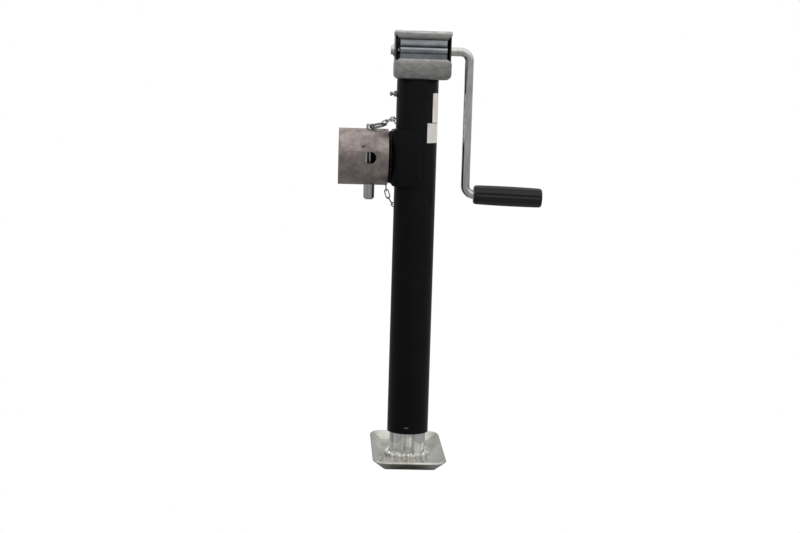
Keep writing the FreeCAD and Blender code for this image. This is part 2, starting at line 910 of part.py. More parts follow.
def chain_joints():
    """Evenly spaced joints along the chain, from the pull ring, behind the tube, to the anchor."""
    tilt = math.radians(ring_tilt)
    leave = math.radians(ring_leave_angle)
    radial = V(math.cos(leave), math.sin(leave) * math.cos(tilt), math.sin(leave) * math.sin(tilt))
    first_reach = ring_radius - ring_wire / 2 - hang_gap + link_gap / 2
    at_ring = turned_about(ring_centre() + radial * first_reach, ring_hole, Y, -ring_lift)
    past_ring = turned_about(ring_centre() + radial * (first_reach + link_pitch), ring_hole, Y, -ring_lift)
    at_anchor = anchor_point() + Z * (anchor_wire / 2 + hang_gap - link_gap / 2)
    behind = V(0, bracket_outer_half, mount_z)
    # Where the chain hangs, from the middle of the bracket's rear face
    hanging = [
        V(-26, 5, 48.5),
        V(-24.5, 8, 40),
        V(-29, 9.5, 19.5),
        V(-34, 9.5, -2.5),
        V(-38, 9.5, -24.5),
        V(-38.5, 10, -42),
        V(-35, 10.5, -57.5),
        V(-27, 10.5, -69),
        V(-16, 10.5, -73.5),
        V(-6, 9.5, -67),
        V(-2, 7.5, -50),
    ]
    route = [at_ring, past_ring]
    route += [behind + place for place in hanging]
    route += [at_anchor - Z * link_pitch, at_anchor]
    curve = Part.BSplineCurve()
    curve.interpolate(route)
    count = round(curve.length() / link_pitch)
    return curve.discretize(Number=count + 1)


def chain_link(start, end, normal):
    """One wire link, drawn with flat faces, that reaches just past the joints it hangs between."""
    along = (end - start).normalize()
    across = normal.cross(along).normalize()
    flat = along.cross(across)
    middle = (start + end) * 0.5
    half_length = (end - start).Length / 2 + link_gap / 2 + link_wire
    half_width = link_width / 2

    def outline(inset):
        corner = (half_width - inset) * link_corner_share
        reach, side = half_length - inset, half_width - inset
        points = []
        for a, b in ((1, 1), (-1, 1), (-1, -1), (1, -1)):
            tip = middle + along * a * reach + across * b * (side - corner)
            flank = middle + along * a * (reach - corner) + across * b * side
            points += [tip, flank] if a * b > 0 else [flank, tip]
        lifted = [point - flat * link_wire / 2 for point in points]
        return Part.Face(Part.makePolygon(lifted + lifted[:1])).extrude(flat * link_wire)

    return outline(0).cut(outline(link_wire))


def tether_chain():
    """The chain: each link is a quarter turn from the last, and the end ones face the ring and anchor."""
    joints = chain_joints()
    spans = list(zip(joints, joints[1:]))
    normal = (joints[1] - joints[0]).cross(Z)
    frames = []
    for start, end in spans:
        along = (end - start).normalize()
        normal = (normal - along * normal.dot(along)).normalize()
        frames.append((along, normal))
    last = len(spans) - 1
    along, normal = frames[last]
    turned_normal = FreeCAD.Rotation(along, TURN / 4 * last).multVec(normal)
    spare = math.atan2(along.dot(turned_normal.cross(X)), turned_normal.dot(X))
    spare = math.degrees(math.remainder(spare, math.pi))
    links = []
    for index, (start, end) in enumerate(spans):
        along, normal = frames[index]
        roll = FreeCAD.Rotation(along, TURN / 4 * index + spare * index / last)
        links.append(chain_link(start, end, roll.multVec(normal)))
    return Part.makeCompound(links)


# Every node and its solid

nodes = {
    "foot_plate": foot_plate(),
    "foot_weld": foot_weld(),
    "inner_tube": inner_tube(),
    "lead_nut": lead_nut(),
    "outer_tube": outer_tube(),
    "grease_fitting": grease_fitting(),
    "gear_case": gear_case(),
    "gear_case_lid": gear_case_lid(),
    "front_gear_cover": gear_cover(-1, cover_side_gap),
    "rear_gear_cover": gear_cover(1, rear_cover_side_gap),
    "crank_rod": crank_rod(),
    "left_shaft_bush": shaft_bush(case_left, 1),
    "right_shaft_bush": shaft_bush(case_right, -1),
    "rod_end_washer": rod_end_washer(),
    "rod_end_clip": rod_end_clip(),
    "handle_grip": handle_grip(),
    "grip_push_nut": grip_push_nut(),
    "bevel_gear": bevel_gear(),
    "gear_pin": gear_pin(),
    "bevel_pinion": bevel_pinion(),
    "pinion_pin": pinion_pin(),
    "lead_screw": lead_screw(),
    "gear_washer": gear_washer(),
    "bearing_upper_race": bearing_race(tube_top - race_thickness),
    "bearing_lower_race": bearing_race(collar_top),
    "bearing_rollers": bearing_rollers(),
    "bearing_cage": bearing_cage(),
    "mount_bracket": mount_bracket(),
    "bracket_welds": bracket_welds(),
    "swivel_stub": swivel_stub(),
    "stub_weld": stub_weld(),
    "weld_pipe": weld_pipe(),
    "lock_pin": lock_pin(),
    "pull_ring": pull_ring(),
    "chain_anchor": chain_anchor(),
    "tether_chain": tether_chain(),
}

os.makedirs("parts", exist_ok=True)
for name, shape in nodes.items():
    shape.exportStep(f"parts/{name}.step")
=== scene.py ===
import math

import bmesh
import bpy
import numpy as np
from mathutils import Matrix, Vector, noise


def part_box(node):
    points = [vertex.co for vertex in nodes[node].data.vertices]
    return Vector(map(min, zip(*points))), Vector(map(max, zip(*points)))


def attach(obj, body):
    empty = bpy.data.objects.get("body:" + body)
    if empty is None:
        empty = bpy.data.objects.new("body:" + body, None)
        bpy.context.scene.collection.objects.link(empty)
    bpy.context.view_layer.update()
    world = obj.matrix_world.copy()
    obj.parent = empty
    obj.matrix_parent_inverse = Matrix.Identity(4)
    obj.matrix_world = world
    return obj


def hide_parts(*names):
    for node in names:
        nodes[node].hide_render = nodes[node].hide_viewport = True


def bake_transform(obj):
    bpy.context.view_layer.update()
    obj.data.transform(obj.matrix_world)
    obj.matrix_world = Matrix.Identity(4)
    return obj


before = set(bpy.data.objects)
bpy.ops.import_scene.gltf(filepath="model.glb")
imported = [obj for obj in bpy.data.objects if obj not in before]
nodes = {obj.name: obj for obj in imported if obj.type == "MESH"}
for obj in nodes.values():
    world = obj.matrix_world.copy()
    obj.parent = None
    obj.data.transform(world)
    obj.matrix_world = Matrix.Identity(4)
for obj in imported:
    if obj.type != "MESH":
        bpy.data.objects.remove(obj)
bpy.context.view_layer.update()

# Foot plate
# A dish pressed from 3 mm steel sheet and zinc plated, so that it is bright but mottled.
# The press and the plating leave its cut edges a little rounded.

MM = 0.001
FOOT_EDGE = 0.5 * MM
SHARP = math.radians(34)
FLAT = math.radians(0.4)
WELD_DISTANCE = 0.005 * MM
# Noise seldom leaves these bounds
NOISE_BOUNDS = {"From Min": 0.3, "From Max": 0.7}
PLATING_BOUNDS = {"From Min": 0.32, "From Max": 0.68}
# The plating's grit is drawn coarser than it is, to blur what the metal mirrors
PLATING_GRIT = 0.5 * MM
PLATING_GRIT_DEPTH = 0.012 * MM


def linear(colour):
    """An sRGB hex colour as linear red, green, blue and alpha."""
    shares = [int(colour[start:start + 2], 16) / 255 for start in (1, 3, 5)]
    return [s / 12.92 if s <= 0.04045 else ((s + 0.055) / 1.055) ** 2.4 for s in shares] + [1.0]


def set_inputs(tree, node, inputs):
    """Gives a shader node values or links for its inputs."""
    for socket, value in inputs.items():
        if isinstance(value, bpy.types.NodeSocket):
            tree.links.new(value, node.inputs[socket])
        else:
            node.inputs[socket].default_value = value


def add_node(tree, kind, inputs, **settings):
    """Adds a shader node, with values or links for its inputs and settings for the node itself."""
    node = tree.nodes.new(kind)
    for name, value in settings.items():
        setattr(node, name, value)
    set_inputs(tree, node, inputs)
    return node


def new_material(name):
    """A new material, its node tree, its shader, and the place on the piece that its patterns follow."""
    material = bpy.data.materials.new(name)
    material.use_nodes = True
    tree = material.node_tree
    place = add_node(tree, "ShaderNodeTexCoord", {}).outputs["Object"]
    return material, tree, tree.nodes["Principled BSDF"], place


def zinc_plate(name, dark, pale, roughness, mottle_mm):
    """Zinc-plated steel: a bright metal, its plating cloudy in patches of the given size along X, Y and Z."""
    material, tree, shader, place = new_material(name)
    scale = [1 / (size * MM) for size in mottle_mm]
    stretched = add_node(tree, "ShaderNodeMapping", {"Vector": place, "Scale": scale}).outputs["Vector"]
    cloud = add_node(
        tree, "ShaderNodeTexNoise", {"Vector": stretched, "Scale": 1.0, "Detail": 5.0, "Roughness": 0.62}
    ).outputs["Fac"]
    share = add_node(tree, "ShaderNodeMapRange", {"Value": cloud, **PLATING_BOUNDS}).outputs["Result"]
    shade = add_node(
        tree, "ShaderNodeMix", {0: share, 6: linear(dark), 7: linear(pale)}, data_type="RGBA"
    ).outputs[2]
    rough = add_node(
        tree,
        "ShaderNodeMapRange",
        {"Value": cloud, **NOISE_BOUNDS, "To Min": roughness[1], "To Max": roughness[0]},
    ).outputs["Result"]
    grit = add_node(
        tree, "ShaderNodeTexNoise", {"Vector": place, "Scale": 1 / PLATING_GRIT, "Detail": 2.0}
    ).outputs["Fac"]
    bump = add_node(
        tree, "ShaderNodeBump", {"Height": grit, "Strength": 0.35, "Distance": PLATING_GRIT_DEPTH}
    ).outputs["Normal"]
    set_inputs(tree, shader, {"Base Color": shade, "Roughness": rough, "Normal": bump, "Metallic": 1.0})
    return material


def new_piece(bm, name, body, material, stands_for=()):
    """Makes an object of a bmesh, smooth but for its sharp edges, that rides on a body."""
    mesh = bpy.data.meshes.new(name)
    bm.to_mesh(mesh)
    bm.free()
    mesh.shade_smooth()
    mesh.set_sharp_from_angle(angle=SHARP)
    mesh.materials.append(material)
    piece = bpy.data.objects.new(name, mesh)
    bpy.context.scene.collection.objects.link(piece)
    if body:
        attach(piece, body)
    if stands_for:
        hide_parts(*stands_for)
    return piece


def softened(node, name, edge, body, material):
    """A copy of a rigid piece with its sharp edges rounded, which stands for it."""
    bm = bmesh.new()
    bm.from_mesh(nodes[node].data)
    bmesh.ops.remove_doubles(bm, verts=bm.verts, dist=WELD_DISTANCE)
    bmesh.ops.dissolve_limit(bm, angle_limit=FLAT, verts=bm.verts, edges=bm.edges)
    sharp = [e for e in bm.edges if len(e.link_faces) == 2 and e.calc_face_angle() > SHARP]
    bmesh.ops.bevel(
        bm,
        geom=sharp,
        offset=edge,
        offset_type="OFFSET",
        affect="EDGES",
        segments=2,
        profile=0.5,
        material=-1,
        clamp_overlap=True,
    )
    return new_piece(bm, name, body, material, [node])


foot_zinc = zinc_plate("bright_zinc_on_pressed_sheet", "#96968F", "#C8C8C1", (0.08, 0.18), (26, 34, 26))
softened("foot_plate", "foot_dish", FOOT_EDGE, "leg", foot_zinc)

# Foot weld
# The arc weld between leg and foot, plated over with them. Its bead is a row of overlapping
# ripples, uneven in height.

CENTRE = (0, 0, 0)
FOOT_BEAD_RIPPLES = 20
FOOT_BEAD_UNEVEN = 0.55
FOOT_BEAD_SEED = 1.7
BEAD_BURY = 0.4 * MM
BEAD_CORNERS = 7
BEAD_FULLNESS = 0.92
BEAD_RIPPLE = 0.1
BEAD_LUMPS = 8
STEPS_PER_RIPPLE = 6


def fillet_ring(centre, axis, radius, leg, ripples, uneven, seed):
    """A weld bead in the corner of a tube and a flat plate: a fillet spun round the tube, then rippled."""
    turn = Vector((0, 0, 1)).rotation_difference(axis).to_matrix()
    bm = bmesh.new()
    root = Vector((radius - BEAD_BURY, 0, -BEAD_BURY))
    corners = [root]
    for step in range(BEAD_CORNERS):
        angle = math.pi / 2 * step / (BEAD_CORNERS - 1)
        corners.append(root + leg * Vector((math.cos(angle), 0, math.sin(angle))))
    ring = [bm.verts.new(corner) for corner in corners]
    edges = [bm.edges.new((a, b)) for a, b in zip(ring, ring[1:] + ring[:1])]
    steps = ripples * STEPS_PER_RIPPLE
    bmesh.ops.spin(
        bm, geom=ring + edges, cent=CENTRE, axis=(0, 0, 1), angle=math.tau, steps=steps, use_merge=True
    )
    for vert in bm.verts:
        around = math.atan2(vert.co.y, vert.co.x)
        outward = Vector((math.cos(around), math.sin(around), 0))
        corner = outward * radius
        ripple = BEAD_RIPPLE * math.sin(around * ripples)
        lump = uneven * noise.noise(outward * BEAD_LUMPS + Vector((0, 0, seed)))
        reach = vert.co - corner
        if reach.length > BEAD_BURY * 2:
            vert.co = corner + reach * (BEAD_FULLNESS + ripple + lump)
        vert.co = centre + turn @ vert.co
    bmesh.ops.recalc_face_normals(bm, faces=bm.faces)
    return bm


bead_low, bead_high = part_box("foot_weld")
leg_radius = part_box("inner_tube")[1].x
bead = fillet_ring(
    Vector((0, 0, bead_low.z)),
    Vector((0, 0, 1)),
    leg_radius,
    bead_high.x - leg_radius,
    FOOT_BEAD_RIPPLES,
    FOOT_BEAD_UNEVEN,
    FOOT_BEAD_SEED,
)
bead_zinc = zinc_plate("bright_zinc_on_weld", "#85847C", "#F2F1EB", (0.08, 0.2), (5, 5, 5))
new_piece(bead, "foot_weld_bead", "leg", bead_zinc, ["foot_weld"])

# Leg and its nut
# The leg is a drawn tube, zinc plated, with lengthwise pale and dark bands painted into its colour: painted
# reflections of the streaks that it mirrors.
# The bronze nut in its top end rides on the screw.

# The bronze's pores are drawn coarser than they are, so that a near view shows them
BRONZE_PORES = 1.2 * MM


def dress(node, material):
    """Gives a rigid piece its finish."""
    nodes[node].data.materials.clear()
    nodes[node].data.materials.append(material)


def sintered_bronze():
    """Sintered bronze, soaked in oil and darkened further as painted shade: a dull dark warm metal with fine
    pores.
    """
    material, tree, shader, place = new_material("sintered_bronze")
    pores = add_node(
        tree, "ShaderNodeTexNoise", {"Vector": place, "Scale": 1 / BRONZE_PORES, "Detail": 3.0}
    ).outputs["Fac"]
    shade = add_node(
        tree, "ShaderNodeMix", {0: pores, 6: linear("#2E2412"), 7: linear("#4E3D22")}, data_type="RGBA"
    ).outputs[2]
    set_inputs(tree, shader, {"Base Color": shade, "Roughness": 0.48, "Metallic": 1.0})
    return material


# The lengthwise bands are painted reflections
leg_zinc = zinc_plate("bright_zinc_on_drawn_tube", "#A6A9A9", "#FDFEFC", (0.05, 0.15), (7, 7, 200))
dress("inner_tube", leg_zinc)
# The bronze is dark partly as painted shade, since the bushes show in the case's shaded gaps
bronze = sintered_bronze()
for node in ("lead_nut", "left_shaft_bush", "right_shaft_bush"):
    dress(node, bronze)

# Screw, gears and thrust bearing
# Machined steel inside the tube and the gear case, dark with grease and darkened further as painted shade.
# Cross pins key the gears to the screw and the crank rod, and the bearing lies under the case's floor.

# Dark partly as painted shade, since this steel also darkens the case's walls
greased_steel_and_shade = zinc_plate("greased_steel_darkened_as_shade", "#1E1F20", "#363738", (0.3, 0.5), (9, 9, 9))
for node in (
    "lead_screw", "bevel_gear", "bevel_pinion", "gear_pin", "pinion_pin", "gear_washer",
    "bearing_upper_race", "bearing_lower_race", "bearing_rollers", "bearing_cage",
):
    dress(node, greased_steel_and_shade)

# Outer tube
# A welded steel tube, powder coated in gloss black, with the faint orange peel of the coat.
# Near its lower end the coat is scuffed down to grey in one small place.

TUBE_EDGE = 0.6 * MM
PAINT_SHINE = 0.07
ORANGE_PEEL = 2.2 * MM
ORANGE_PEEL_DEPTH = 0.03 * MM
DUST_PATCHES = 38 * MM
SCUFF_PLACE = Vector((-3.5, -28.5, 45.0)) * MM
SCUFF_SIZE = Vector((3.6, 4.0, 1.1)) * MM
SCUFF_RAGGED = 1.6 * MM
# How far out a patch fades, in shares of its half size and with the ragged noise added
PATCH_FADE = {"From Min": 1.5, "From Max": 1.2}


def worn_patch(tree, place, centre, size, ragged):
    """How worn a surface is, from 0 to 1, in one ragged patch of the given centre and half size."""
    scale = [1 / extent for extent in size]
    offset = [-c / extent for c, extent in zip(centre, size)]
    local = add_node(
        tree, "ShaderNodeMapping", {"Vector": place, "Location": offset, "Scale": scale}
    ).outputs["Vector"]
    far = add_node(tree, "ShaderNodeVectorMath", {0: local}, operation="LENGTH").outputs["Value"]
    fray = add_node(
        tree, "ShaderNodeTexNoise", {"Vector": place, "Scale": 1 / ragged, "Detail": 3.0}
    ).outputs["Fac"]
    edge = add_node(tree, "ShaderNodeMath", {0: far, 1: fray}, operation="ADD").outputs["Value"]
    return add_node(tree, "ShaderNodeMapRange", {"Value": edge, **PATCH_FADE}).outputs["Result"]


def black_powder_coat(name, scuffed=False):
    """Gloss black powder coat, with orange peel, dust that dulls it in patches, and at most one scuff."""
    material, tree, shader, place = new_material(name)
    peel = add_node(
        tree, "ShaderNodeTexNoise", {"Vector": place, "Scale": 1 / ORANGE_PEEL, "Detail": 2.0}
    ).outputs["Fac"]
    dust = add_node(
        tree,
        "ShaderNodeTexNoise",
        {"Vector": place, "Scale": 1 / DUST_PATCHES, "Detail": 6.0, "Roughness": 0.66},
    ).outputs["Fac"]
    shade = add_node(
        tree, "ShaderNodeMix", {0: dust, 6: linear("#080808"), 7: linear("#121212")}, data_type="RGBA"
    ).outputs[2]
    if scuffed:
        worn = worn_patch(tree, place, SCUFF_PLACE, SCUFF_SIZE, SCUFF_RAGGED)
        shade = add_node(
            tree, "ShaderNodeMix", {0: worn, 6: shade, 7: linear("#5E5C59")}, data_type="RGBA"
        ).outputs[2]
    rough = add_node(
        tree, "ShaderNodeMapRange", {"Value": dust, **NOISE_BOUNDS, "To Min": 0.24, "To Max": 0.38}
    ).outputs["Result"]
    bump = add_node(
        tree, "ShaderNodeBump", {"Height": peel, "Strength": 0.25, "Distance": ORANGE_PEEL_DEPTH}
    ).outputs["Normal"]
    set_inputs(
        tree,
        shader,
        {"Base Color": shade, "Roughness": rough, "Normal": bump, "Specular IOR Level": PAINT_SHINE},
    )
    return material


tube_paint = black_powder_coat("black_powder_coat_on_tube", scuffed=True)
softened("outer_tube", "painted_tube", TUBE_EDGE, "jack_body", tube_paint)

# Grease fitting
# A small nipple turned from hexagon steel bar and zinc plated. It is screwed into the upper end
# of the tube, to let grease in to what runs inside.

fitting_zinc = zinc_plate("zinc_on_turned_steel", "#8E8F8F", "#C2C3C2", (0.2, 0.32), (4, 4, 4))
dress("grease_fitting", fitting_zinc)

# Mount bracket and swivel stub
# A channel folded from 5 mm plate, welded to the tube, with the swivel stub welded to its web.
# All of it is powder coated with the tube, so the weld beads show only by their lumps.

BRACKET_EDGE = 0.8 * MM
STUB_EDGE = 0.6 * MM
STUB_BEAD = 4.6 * MM
STUB_BEAD_RIPPLES = 30
STUB_BEAD_UNEVEN = 0.5
STUB_BEAD_SEED = 4.1
LEG_BEAD_RADIUS = 3.2 * MM
LEG_BEAD_SEGMENTS = 14
LEG_BEAD_SLICES = 64
LEG_BEAD_RIPPLE = 4.2 * MM
LEG_BEAD_LUMP = 9 * MM
LEG_BEAD_SEED = 3.0
LEG_BEAD_SUNK = 0.9
# A slice's size, in shares of the bead's radius: its mean, its ripple and its lumps
SLICE_MEAN, SLICE_RIPPLE, SLICE_LUMP = 0.86, 0.1, 0.3
# At the bead's ends a slice is cut down to this share, and it grows back this fast along the bead
SLICE_END, SLICE_GROWTH = 0.35, 9
MOST_SIDES = 20


def close_ends(bm):
    """Closes a drawn-out section's open ends and turns its faces outwards."""
    bmesh.ops.holes_fill(bm, edges=[e for e in bm.edges if e.is_boundary], sides=MOST_SIDES)
    bmesh.ops.recalc_face_normals(bm, faces=bm.faces)


def bead_bar(start, end, seed):
    """A straight weld bead: a round section drawn out slice by slice, swelling at each ripple."""
    bm = bmesh.new()
    along = end - start
    circle = bmesh.ops.create_circle(bm, cap_ends=False, segments=LEG_BEAD_SEGMENTS, radius=LEG_BEAD_RADIUS)
    bmesh.ops.translate(bm, verts=circle["verts"], vec=start)
    edges = bm.edges[:]
    swell = 1.0
    for index in range(1, LEG_BEAD_SLICES + 1):
        share = index / LEG_BEAD_SLICES
        middle = start + along * share
        made = bmesh.ops.extrude_edge_only(bm, edges=edges)["geom"]
        last = [g for g in made if isinstance(g, bmesh.types.BMVert)]
        edges = [g for g in made if isinstance(g, bmesh.types.BMEdge)]
        bmesh.ops.translate(bm, verts=last, vec=along / LEG_BEAD_SLICES)
        wanted = SLICE_MEAN + SLICE_RIPPLE * math.sin(math.tau * along.length * share / LEG_BEAD_RIPPLE)
        wanted += SLICE_LUMP * noise.noise(Vector((seed, 0, middle.z / LEG_BEAD_LUMP)))
        wanted *= min(1.0, SLICE_END + SLICE_GROWTH * min(share, 1 - share))
        bmesh.ops.scale(bm, verts=last, vec=(wanted / swell,) * 3, space=Matrix.Translation(-middle))
        swell = wanted
    close_ends(bm)
    return bm


bracket_paint = black_powder_coat("black_powder_coat_on_bracket")
softened("mount_bracket", "folded_bracket", BRACKET_EDGE, "jack_body", bracket_paint)
softened("swivel_stub", "stub_tube", STUB_EDGE, "jack_body", bracket_paint)
stub_low, stub_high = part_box("swivel_stub")
bead = fillet_ring(
    Vector((stub_high.x, 0, (stub_low.z + stub_high.z) / 2)),
    Vector((-1, 0, 0)),
    stub_high.y,
    STUB_BEAD,
    STUB_BEAD_RIPPLES,
    STUB_BEAD_UNEVEN,
    STUB_BEAD_SEED,
)
new_piece(bead, "stub_weld_bead", "jack_body", bracket_paint, ["stub_weld"])
welds_low, welds_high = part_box("bracket_welds")
bracket_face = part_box("mount_bracket")[1]
for name, side in (("front_bracket_weld", -1), ("rear_bracket_weld", 1)):
    across = side * (bracket_face.y - LEG_BEAD_RADIUS * LEG_BEAD_SUNK)
    start = Vector((bracket_face.x, across, welds_low.z))
    end = Vector((bracket_face.x, across, welds_high.z))
    bead = bead_bar(start, end, LEG_BEAD_SEED + side)
    new_piece(bead, name, "jack_body", bracket_paint, ["bracket_welds"])

# Weld pipe
# A short length of bare steel pipe, sawn off and drilled, still with its dull brownish mill
# surface, for welding to a trailer's frame. One small dark smudge is on its front.

PIPE_EDGE = 0.5 * MM
MILL_CLOUDS = 15 * MM
MILL_SPECKS = 3.4 * MM
SPECK_COVER = {"From Min": 0.66, "From Max": 0.76, "To Max": 0.5}
# The turning lines are drawn coarser than they are, so that a near view shows them
TURNING_LINES = Vector((1.1, 40, 40)) * MM
TURNING_DEPTH = 0.03 * MM
SMUDGE_FROM_HOLES = Vector((-9.8, -35.4, 15.1)) * MM
SMUDGE_SIZE = Vector((3.4, 8.0, 2.4)) * MM
SMUDGE_RAGGED = 1.9 * MM


def mill_steel(smudge_place):
    """Bare mill steel: a dull grey-brown metal, cloudy, with small darker specks and fine turning lines."""
    material, tree, shader, place = new_material("bare_mill_steel")
    cloud = add_node(
        tree,
        "ShaderNodeTexNoise",
        {"Vector": place, "Scale": 1 / MILL_CLOUDS, "Detail": 8.0, "Roughness": 0.74},
    ).outputs["Fac"]
    speck = add_node(
        tree,
        "ShaderNodeTexNoise",
        {"Vector": place, "Scale": 1 / MILL_SPECKS, "Detail": 3.0, "Roughness": 0.6},
    ).outputs["Fac"]
    scale = [1 / size for size in TURNING_LINES]
    lines = add_node(tree, "ShaderNodeMapping", {"Vector": place, "Scale": scale}).outputs["Vector"]
    turning = add_node(
        tree, "ShaderNodeTexNoise", {"Vector": lines, "Scale": 1.0, "Detail": 2.0}
    ).outputs["Fac"]
    share = add_node(tree, "ShaderNodeMapRange", {"Value": cloud, **NOISE_BOUNDS}).outputs["Result"]
    shade = add_node(
        tree, "ShaderNodeMix", {0: share, 6: linear("#6D6364"), 7: linear("#B1A6A1")}, data_type="RGBA"
    ).outputs[2]
    spots = add_node(tree, "ShaderNodeMapRange", {"Value": speck, **SPECK_COVER}).outputs["Result"]
    smudge = worn_patch(tree, place, smudge_place, SMUDGE_SIZE, SMUDGE_RAGGED)
    for cover, colour in ((spots, "#5A504B"), (smudge, "#5E5558")):
        shade = add_node(
            tree, "ShaderNodeMix", {0: cover, 6: shade, 7: linear(colour)}, data_type="RGBA"
        ).outputs[2]
    rough = add_node(
        tree, "ShaderNodeMapRange", {"Value": cloud, **NOISE_BOUNDS, "To Min": 0.48, "To Max": 0.36}
    ).outputs["Result"]
    bump = add_node(
        tree, "ShaderNodeBump", {"Height": turning, "Strength": 0.3, "Distance": TURNING_DEPTH}
    ).outputs["Normal"]
    set_inputs(tree, shader, {"Base Color": shade, "Roughness": rough, "Normal": bump, "Metallic": 1.0})
    return material


pipe_low, pipe_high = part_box("weld_pipe")
pin_low, pin_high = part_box("lock_pin")
holes_meet = Vector((pin_low.x + pin_high.x, pin_low.y + pin_high.y, pipe_low.z + pipe_high.z)) / 2
bare_steel = mill_steel(holes_meet + SMUDGE_FROM_HOLES)
softened("weld_pipe", "mill_pipe", PIPE_EDGE, "jack_body", bare_steel)

# Lock pin and pull ring
# The pin is a cold-drawn bar, zinc plated, put down through the pipe and the stub. Its split ring is
# two turns of spring wire through the hole in the pin's neck.

RING_WIRE = 1.7 * MM
RING_WIRE_SIDES = 10
RING_TURNS = 2
RING_STEPS = 48
RING_TILT = math.radians(10)
RING_LIFT = math.radians(12)


def wire_section(bm, wire, sides, place):
    """Adds a round wire's section at a place, ready to be spun about Z."""
    circle = bmesh.ops.create_circle(bm, cap_ends=False, segments=sides, radius=wire / 2)["verts"]
    bmesh.ops.rotate(bm, verts=circle, cent=CENTRE, matrix=Matrix.Rotation(math.pi / 2, 3, "X"))
    bmesh.ops.translate(bm, verts=circle, vec=place)
    return circle


pin_zinc = zinc_plate("bright_zinc_on_cold_drawn_bar", "#8A8B8B", "#E4E5E3", (0.12, 0.24), (1.6, 1.6, 60))
dress("lock_pin", pin_zinc)
ring_low, ring_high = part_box("pull_ring")
ring_middle = (ring_low + ring_high) / 2
ring_radius = (ring_high.y - ring_low.y - RING_WIRE) / 2
bm = bmesh.new()
wire_section(bm, RING_WIRE, RING_WIRE_SIDES, (ring_radius, 0, -RING_WIRE * RING_TURNS / 2))
bmesh.ops.spin(
    bm,
    geom=bm.verts[:] + bm.edges[:],
    cent=CENTRE,
    axis=(0, 0, 1),
    dvec=(0, 0, RING_WIRE / RING_STEPS),
    angle=math.tau * RING_TURNS,
    steps=RING_STEPS * RING_TURNS,
)
close_ends(bm)
lean = Matrix.Rotation(-RING_LIFT, 3, "Y") @ Matrix.Rotation(RING_TILT, 3, "X")
bmesh.ops.rotate(bm, verts=bm.verts, cent=CENTRE, matrix=lean)
bmesh.ops.translate(bm, verts=bm.verts, vec=ring_middle)
wire_zinc = zinc_plate("zinc_on_spring_wire", "#6C6E70", "#A6A8A8", (0.22, 0.36), (5, 5, 5))
new_piece(bm, "split_ring", "pull_pin", wire_zinc, ["pull_ring"])

# Tether chain and its anchor
# Bent wire links from the ring, down behind the bracket and up to a wire staple on its rear leg.
# When the pin is drawn, the real links from the ring to the loop's bottom are drawn out after it; here they
# are a piece of their own, on no body.

LINK_WIRE = 1.6 * MM
LINK_WIRE_SIDES = 8
LINK_STEPS = 16
STAPLE_WIRE = 2.2 * MM
STAPLE_WIRE_SIDES = 12
STAPLE_STEPS = 20


def chain_islands():
    """The chain's links as arrays of points, in order from the ring to the anchor."""
    bm = bmesh.new()
    bm.from_mesh(nodes["tether_chain"].data)
    bmesh.ops.remove_doubles(bm, verts=bm.verts, dist=WELD_DISTANCE)
    left = set(bm.verts)
    found = []
    while left:
        stack = [left.pop()]
        points = []
        while stack:
            vert = stack.pop()
            points.append(vert.co[:])
            for edge in vert.link_edges:
                other = edge.other_vert(vert)
                if other in left:
                    left.remove(other)
                    stack.append(other)
        found.append(np.array(points))
    bm.free()
    here = np.array(ring_middle)
    ordered = []
    while found:
        found.sort(key=lambda points: np.linalg.norm(points.mean(0) - here))
        ordered.append(found.pop(0))
        here = ordered[-1].mean(0)
    return ordered


def wire_link(bm, points):
    """Adds a round-wire link of the size and place of these points: a ring drawn out to their length."""
    middle = points.mean(0)
    axes = np.linalg.eigh(np.cov((points - middle).T))[1][:, ::-1]
    spans = np.ptp((points - middle) @ axes, axis=0)
    bend = (spans[1] - LINK_WIRE) / 2
    stretch = (spans[0] - spans[1]) / 2
    before = set(bm.verts)
    circle = wire_section(bm, LINK_WIRE, LINK_WIRE_SIDES, (bend, 0, 0))
    half_step = Matrix.Rotation(math.pi / LINK_STEPS, 3, "Z")
    bmesh.ops.rotate(bm, verts=circle, cent=CENTRE, matrix=half_step)
    edges = {edge for vert in circle for edge in vert.link_edges}
    bmesh.ops.spin(
        bm,
        geom=circle + list(edges),
        cent=CENTRE,
        axis=(0, 0, 1),
        angle=math.tau,
        steps=LINK_STEPS,
        use_merge=True,
    )
    verts = [vert for vert in bm.verts if vert not in before]
    for vert in verts:
        vert.co.x += math.copysign(stretch, vert.co.x)
    along, across = Vector(axes[:, 0]), Vector(axes[:, 1])
    turn = Matrix((along, across, along.cross(across))).transposed()
    bmesh.ops.rotate(bm, verts=verts, cent=CENTRE, matrix=turn)
    bmesh.ops.translate(bm, verts=verts, vec=Vector(middle))


def link_run(name, body, run):
    """A run of links as one piece."""
    bm = bmesh.new()
    for points in run:
        wire_link(bm, points)
    bmesh.ops.recalc_face_normals(bm, faces=bm.faces)
    return new_piece(bm, name, body, wire_zinc, ["tether_chain"])


links = chain_islands()
lowest = min(range(len(links)), key=lambda index: links[index][:, 2].mean())
link_run("anchor_side_links", "jack_body", links[lowest:])
drawn_links = link_run("ring_side_links", None, links[:lowest])
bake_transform(drawn_links)

staple_low, staple_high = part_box("chain_anchor")
bm = bmesh.new()
staple_radius = (staple_high.x - staple_low.x - STAPLE_WIRE) / 2
wire_section(bm, STAPLE_WIRE, STAPLE_WIRE_SIDES, (staple_radius, 0, 0))
bmesh.ops.spin(
    bm, geom=bm.verts[:] + bm.edges[:], cent=CENTRE, axis=(0, 0, 1), angle=math.pi, steps=STAPLE_STEPS
)
close_ends(bm)
staple_foot = Vector(((staple_low.x + staple_high.x) / 2, staple_low.y, (staple_low.z + staple_high.z) / 2))
bmesh.ops.translate(bm, verts=bm.verts, vec=staple_foot)
new_piece(bm, "anchor_staple", "jack_body", bracket_paint, ["chain_anchor"])
